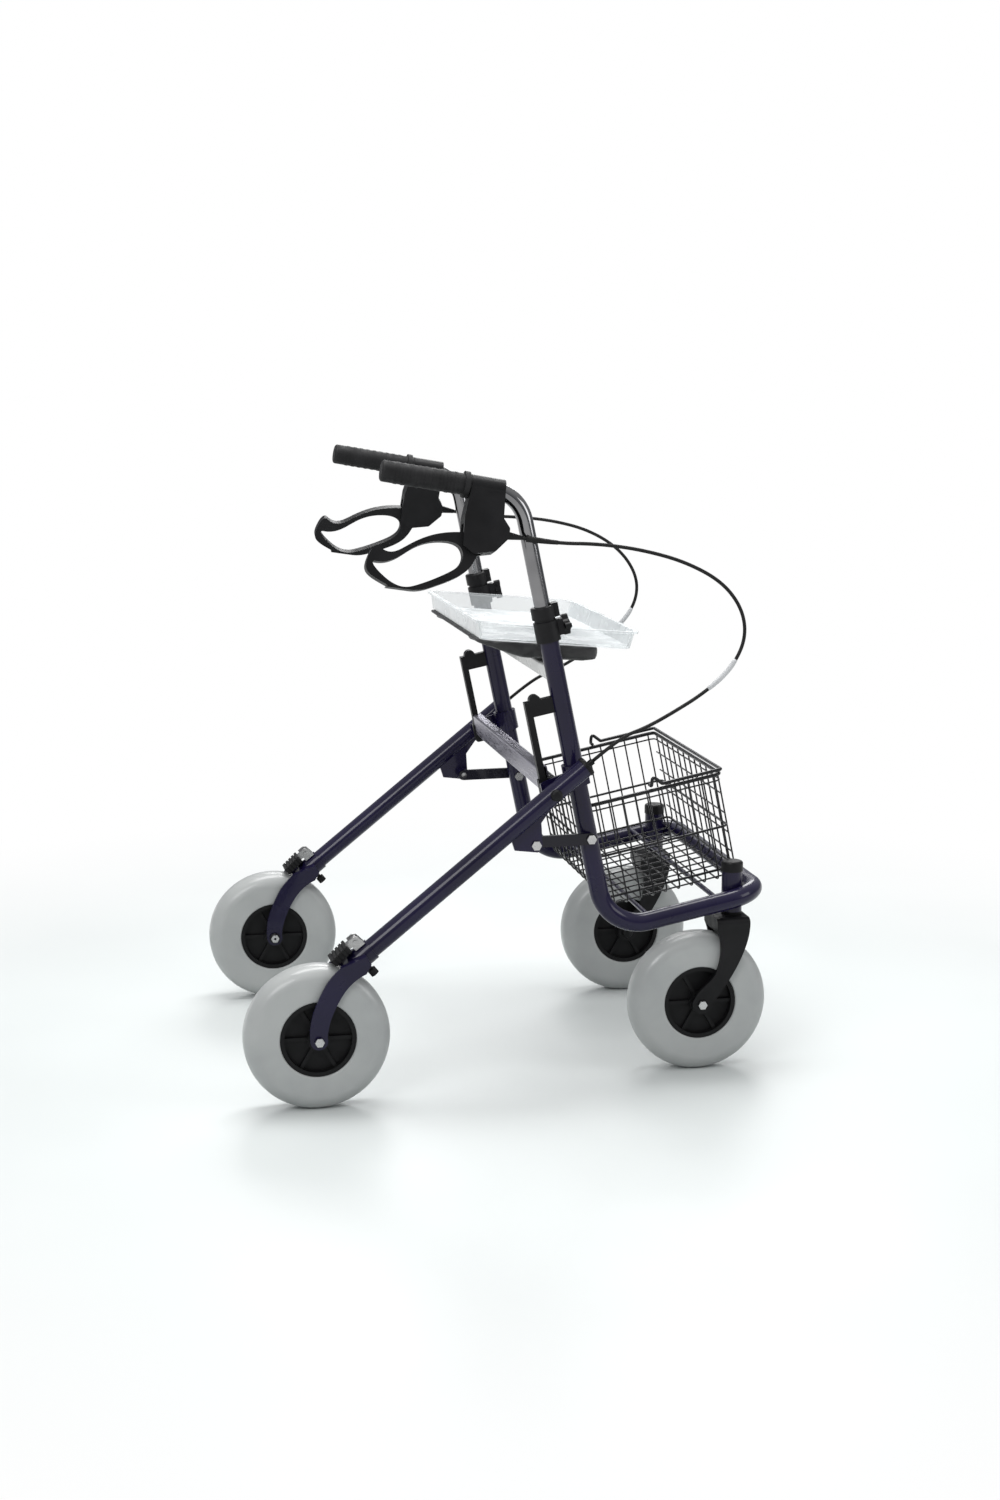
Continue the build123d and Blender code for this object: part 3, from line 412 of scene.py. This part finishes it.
def tube_mesh(name, path, radius, sides=12):
    """A closed tube along a smooth path, with its rings kept from twisting."""
    bm = bmesh.new()
    across = Vector((0, 1, 0))
    rings = []
    for i, point in enumerate(path):
        ahead = path[min(i + 1, len(path) - 1)] - path[max(i - 1, 0)]
        ahead.normalize()
        across = (across - ahead * across.dot(ahead)).normalized()
        other = ahead.cross(across)
        size = radius(i / (len(path) - 1)) if callable(radius) else radius
        spokes = [2 * pi * k / sides for k in range(sides)]
        rings.append([bm.verts.new(point + (across * cos(a) + other * sin(a)) * size) for a in spokes])
    for a, b in zip(rings, rings[1:]):
        for k in range(sides):
            bm.faces.new((a[k], a[(k + 1) % sides], b[(k + 1) % sides], b[k]))
    bm.faces.new(rings[0][::-1])
    bm.faces.new(rings[-1])
    bmesh.ops.recalc_face_normals(bm, faces=bm.faces)
    mesh = bpy.data.meshes.new(name)
    bm.to_mesh(mesh)
    bm.free()
    mesh.shade_smooth()
    obj = bpy.data.objects.new(name, mesh)
    bpy.context.scene.collection.objects.link(obj)
    return obj


def make_cables(mats):
    """Each cable bends between the sliding handle and the frame, and has a pale sleeve on its way down."""
    sleeve_start, sleeve_end = 0.60, 0.70
    relief_rings = slice(1, 9)
    for side, k in SIDES:
        points = [*CABLE_START, *CABLE_ROUTES[side], *CABLE_END]
        path = route_line([(x, k * y, z) for x, y, z in points])
        cable = tube_mesh(f"cable_{side}", path, CABLE_D / 2)
        dress(cable, mats["cable_jacket"])
        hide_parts(f"brake_cable_{side}")
        count = len(path)
        span = path[int(count * sleeve_start):int(count * sleeve_end)]
        sleeve = tube_mesh(f"cable_sleeve_{side}", span, lambda t: 0.0036 - 0.0008 * abs(2 * t - 1) ** 6)
        dress(sleeve, mats["cable_sleeve"])
        relief = tube_mesh(f"cable_relief_{side}", path[relief_rings], lambda t: 0.0045 - 0.0016 * t)
        dress(relief, mats["cable_jacket"])
        for piece in (cable, sleeve):
            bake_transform(piece)
        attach(relief, f"handle_{side}")


# ---- seat cushion ----
def copy_node(name, new_name):
    source = NODES[name]
    mesh = source.data.copy()
    mesh.transform(source.matrix_world)
    obj = bpy.data.objects.new(new_name, mesh)
    bpy.context.scene.collection.objects.link(obj)
    return obj


def apply_modifiers(obj):
    graph = bpy.context.evaluated_depsgraph_get()
    mesh = bpy.data.meshes.new_from_object(obj.evaluated_get(graph))
    obj.modifiers.clear()
    obj.data = mesh


def swell(obj, pressure, cap, thin_x):
    """Blows the closed mesh up as cloth, by cap at most, and by nothing at thin_x."""
    fade_length, last_frame = 0.06, 15
    rest = [v.co.copy() for v in obj.data.vertices]
    cloth = obj.modifiers.new("cloth", "CLOTH")
    cloth.settings.use_pressure = True
    cloth.settings.uniform_pressure_force = pressure
    cloth.settings.tension_stiffness = 40
    cloth.settings.compression_stiffness = 40
    cloth.settings.bending_stiffness = 2
    cloth.settings.effector_weights.gravity = 0
    for step in range(1, last_frame + 1):
        bpy.context.scene.frame_set(step)
    apply_modifiers(obj)
    bpy.context.scene.frame_set(1)
    for vertex, start in zip(obj.data.vertices, rest):
        move = vertex.co - start
        limit = cap * min(1, max(0, start.x - thin_x) / fade_length)
        if move.length > limit:
            vertex.co = start + move * (limit / move.length)


def make_cushion(mats):
    """Padded vinyl cushion: crowned, thin at its rear edge, with two seams pressed into its top."""
    shrink = (0.985, 0.99, 0.94)
    seam_y, seam_half, seam_depth = 0.130, 0.005, 0.002
    cushion = copy_node("seat_cushion", "cushion")
    low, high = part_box("seat_cushion")
    middle = (Vector(low) + Vector(high)) / 2
    for vertex in cushion.data.vertices:
        vertex.co = middle + (vertex.co - middle) * Vector(shrink)
    remesh = cushion.modifiers.new("remesh", "REMESH")
    remesh.mode = "VOXEL"
    remesh.voxel_size = 0.003
    apply_modifiers(cushion)
    swell(cushion, pressure=4, cap=0.003, thin_x=low[0])
    smooth = cushion.modifiers.new("smooth", "SMOOTH")
    smooth.factor = 0.5
    smooth.iterations = 4
    apply_modifiers(cushion)
    normal = Vector((sin(SEAT_DROP), 0, cos(SEAT_DROP)))
    for vertex in cushion.data.vertices:
        from_seam = abs(abs(vertex.co.y) - seam_y)
        if (vertex.co - middle).dot(normal) > 0 and from_seam < seam_half:
            vertex.co -= normal * seam_depth * (1 - from_seam / seam_half)
    cushion.data.shade_smooth()
    dress(cushion, mats["cushion_black"])
    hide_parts("seat_cushion")
    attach(cushion, "seat")


# ---- the rest of the CAD pieces ----
def soften(obj, width, segments=2):
    """A small rounded edge on a CAD piece, made by modifiers so that its mesh stays."""
    edge = obj.modifiers.new("edge", "BEVEL")
    edge.width = width
    edge.segments = segments
    edge.limit_method = "ANGLE"
    edge.angle_limit = radians(35)
    edge.harden_normals = True


DARK_NODES = {"pivot_bolts": "dark_steel", "fold_link_left": "link_paint", "fold_link_right": "link_paint"}
ROUNDED = {"pull_loops": 0.0015, "height_clamps": 0.0008, "seat_support": 0.0006, "slide_brackets": 0.0005}
for side_name, _ in SIDES:
    ROUNDED[f"brake_housing_{side_name}"] = 0.0012
    ROUNDED[f"brake_lever_{side_name}"] = 0.0025
    ROUNDED[f"caster_fork_{side_name}"] = 0.0015


def dress_nodes(mats):
    """Gives every CAD piece that still shows the material of its slot, and some a rounded edge."""
    slots = {part["node"]: part["material_slot"] for part in frame["record"]["subparts"]}
    for name, obj in NODES.items():
        if not obj.hide_render:
            dress(obj, mats[DARK_NODES.get(name, slots[name])])
            if name in ROUNDED:
                soften(obj, ROUNDED[name])


def lathe(name, profile, place, forward, mat, body, sides=24):
    """A turned piece: the profile is (distance along forward, radius) pairs from place."""
    bm = bmesh.new()
    ahead = Vector(forward).normalized()
    across = ahead.orthogonal().normalized()
    other = ahead.cross(across)
    rings = []
    for along, radius in profile:
        middle = Vector(place) + ahead * along
        if radius == 0:
            rings.append([bm.verts.new(middle)] * sides)
        else:
            turns = [2 * pi * k / sides for k in range(sides)]
            rings.append([bm.verts.new(middle + (across * cos(a) + other * sin(a)) * radius) for a in turns])
    for a, b in zip(rings, rings[1:]):
        for k in range(sides):
            corners = []
            for vert in (a[k], a[(k + 1) % sides], b[(k + 1) % sides], b[k]):
                if vert not in corners:
                    corners.append(vert)
            bm.faces.new(corners)
    bmesh.ops.recalc_face_normals(bm, faces=bm.faces)
    mesh = bpy.data.meshes.new(name)
    bm.to_mesh(mesh)
    bm.free()
    mesh.shade_smooth()
    obj = bpy.data.objects.new(name, mesh)
    bpy.context.scene.collection.objects.link(obj)
    dress(obj, mat)
    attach(obj, body)
    return obj


# turned profiles, as (distance along the axis, radius)
NUT_CAP = ((0, 0), (0, 0.0082), (0.0040, 0.0080), (0.0058, 0.0066), (0.0068, 0.0040), (0.0072, 0))
SEAL_RING = (
    (0, 0.0112), (0, 0.0138), (0.0008, 0.0142), (0.0042, 0.0142),
    (0.0050, 0.0138), (0.0050, 0.0112), (0, 0.0112))


def make_small_parts(mats):
    """Black caps over the inner axle nuts and the pivot bolts' heads, and a seal ring at each grip."""
    rear_nut_y, front_nut_y, pivot_head_y = 0.2515, 0.1775, 0.2964
    handle_y, grip_x, grip_z, grip_root = 0.239, -0.037, 0.8334, 0.0165
    back = Vector((-cos(GRIP_RISE), 0, sin(GRIP_RISE)))
    black = mats["black_plastic"]
    axles = (("rear", -AXLE_X, rear_nut_y, "rear_leg"), ("front", AXLE_X, front_nut_y, "caster"))
    for side, k in SIDES:
        for name, x, y, body in axles:
            nut, inward = (x, k * y, AXLE_Z), (0, -k, 0)
            cap = f"{name}_nut_cap_{side}"
            lathe(cap, NUT_CAP, nut, inward, black, f"{body}_{side}")
        head = (FOLD_PIVOT_X, k * pivot_head_y, FOLD_PIVOT_Z)
        lathe(f"pivot_cap_{side}", NUT_CAP, head, (0, k, 0), black, "fold_slide")
        root = Vector((grip_x, k * handle_y, grip_z)) + back * grip_root
        rubber = mats["grip_rubber"]
        lathe(f"grip_seal_{side}", SEAL_RING, root, back, rubber, f"handle_{side}", 32)


# ---- stage ----
def make_floor():
    """A pale floor that turns into plain white with distance, so that no horizon shows."""
    mesh = bpy.data.meshes.new("floor")
    size, fade_from, fade_to = 30, 0.6, 1.7
    corners = [(-size, -size, 0), (size, -size, 0), (size, size, 0), (-size, size, 0)]
    mesh.from_pydata(corners, [], [(0, 1, 2, 3)])
    floor = bpy.data.objects.new("floor", mesh)
    bpy.context.scene.collection.objects.link(floor)
    mat = shader("floor", (0.61, 0.64, 0.635), 0.4)
    vary(mat, "Roughness", texture(mat, "ShaderNodeTexNoise", 2, Detail=4), 0.35, 0.5)
    nodes, links = mat.node_tree.nodes, mat.node_tree.links
    glow = nodes.new("ShaderNodeEmission")
    glow.inputs["Color"].default_value = (1, 1, 1, 1)
    glow.inputs["Strength"].default_value = 1.0
    distance = nodes.new("ShaderNodeVectorMath")
    distance.operation = "LENGTH"
    links.new(nodes["place"].outputs["Object"], distance.inputs[0])
    fade = nodes.new("ShaderNodeMapRange")
    fade.interpolation_type = "SMOOTHSTEP"
    fade.inputs["From Min"].default_value = fade_from
    fade.inputs["From Max"].default_value = fade_to
    links.new(distance.outputs["Value"], fade.inputs["Value"])
    mix = nodes.new("ShaderNodeMixShader")
    links.new(fade.outputs["Result"], mix.inputs[0])
    links.new(nodes["Principled BSDF"].outputs[0], mix.inputs[1])
    links.new(glow.outputs[0], mix.inputs[2])
    links.new(mix.outputs[0], nodes["Material Output"].inputs["Surface"])
    dress(floor, mat)


def make_world():
    """White to look at, but a dimmer sky for light and reflections, brightest overhead."""
    world = bpy.data.worlds.new("studio")
    bpy.context.scene.world = world
    world.use_nodes = True
    nodes, links = world.node_tree.nodes, world.node_tree.links
    sky = nodes["Background"]
    place = nodes.new("ShaderNodeTexCoord")
    split = nodes.new("ShaderNodeSeparateXYZ")
    ramp = nodes.new("ShaderNodeValToRGB")
    ramp.color_ramp.elements[0].position = 0.0
    ramp.color_ramp.elements[0].color = (0.24, 0.25, 0.27, 1)
    ramp.color_ramp.elements[1].position = 0.9
    ramp.color_ramp.elements[1].color = (1.0, 1.0, 1.0, 1)
    links.new(place.outputs["Generated"], split.inputs[0])
    links.new(split.outputs["Z"], ramp.inputs["Fac"])
    links.new(ramp.outputs["Color"], sky.inputs["Color"])
    sky.inputs["Strength"].default_value = 0.8
    white = nodes.new("ShaderNodeBackground")
    white.inputs["Color"].default_value = (1, 1, 1, 1)
    white.inputs["Strength"].default_value = 1.0
    path = nodes.new("ShaderNodeLightPath")
    mix = nodes.new("ShaderNodeMixShader")
    links.new(path.outputs["Is Camera Ray"], mix.inputs[0])
    links.new(sky.outputs[0], mix.inputs[1])
    links.new(white.outputs[0], mix.inputs[2])
    links.new(mix.outputs[0], nodes["World Output"].inputs["Surface"])


def make_stage():
    """Floor, world and four area lights, each with its place, size, power in watts and target."""
    make_floor()
    make_world()
    lights = (
        ("overhead", (-0.1, 0.3, 2.9), (2.2, 0.9), 62, (0.05, 0, 0.3)),
        ("key", (-2.0, -2.6, 2.4), (1.6, 1.2), 42, (0, 0, 0.45)),
        ("fill", (2.8, -1.8, 1.6), (1.4, 1.4), 20, (0, 0, 0.45)),
        ("rim", (0.8, 2.8, 2.2), (2.0, 1.0), 40, (0, 0, 0.45)),
    )
    for name, place, size, power, target in lights:
        lamp = bpy.data.objects.new(name, bpy.data.lights.new(name, "AREA"))
        bpy.context.scene.collection.objects.link(lamp)
        lamp.location = place
        lamp.data.shape = "RECTANGLE"
        lamp.data.size, lamp.data.size_y = size
        lamp.data.energy = power
        lamp.rotation_euler = (Vector(target) - Vector(place)).to_track_quat("-Z", "Y").to_euler()
    bpy.context.scene.view_settings.view_transform = "Standard"


make_camera()
materials = make_materials()
make_cables(materials)
make_basket(materials)
make_bail(materials)
make_cushion(materials)
dress_nodes(materials)
make_small_parts(materials)
make_stage()
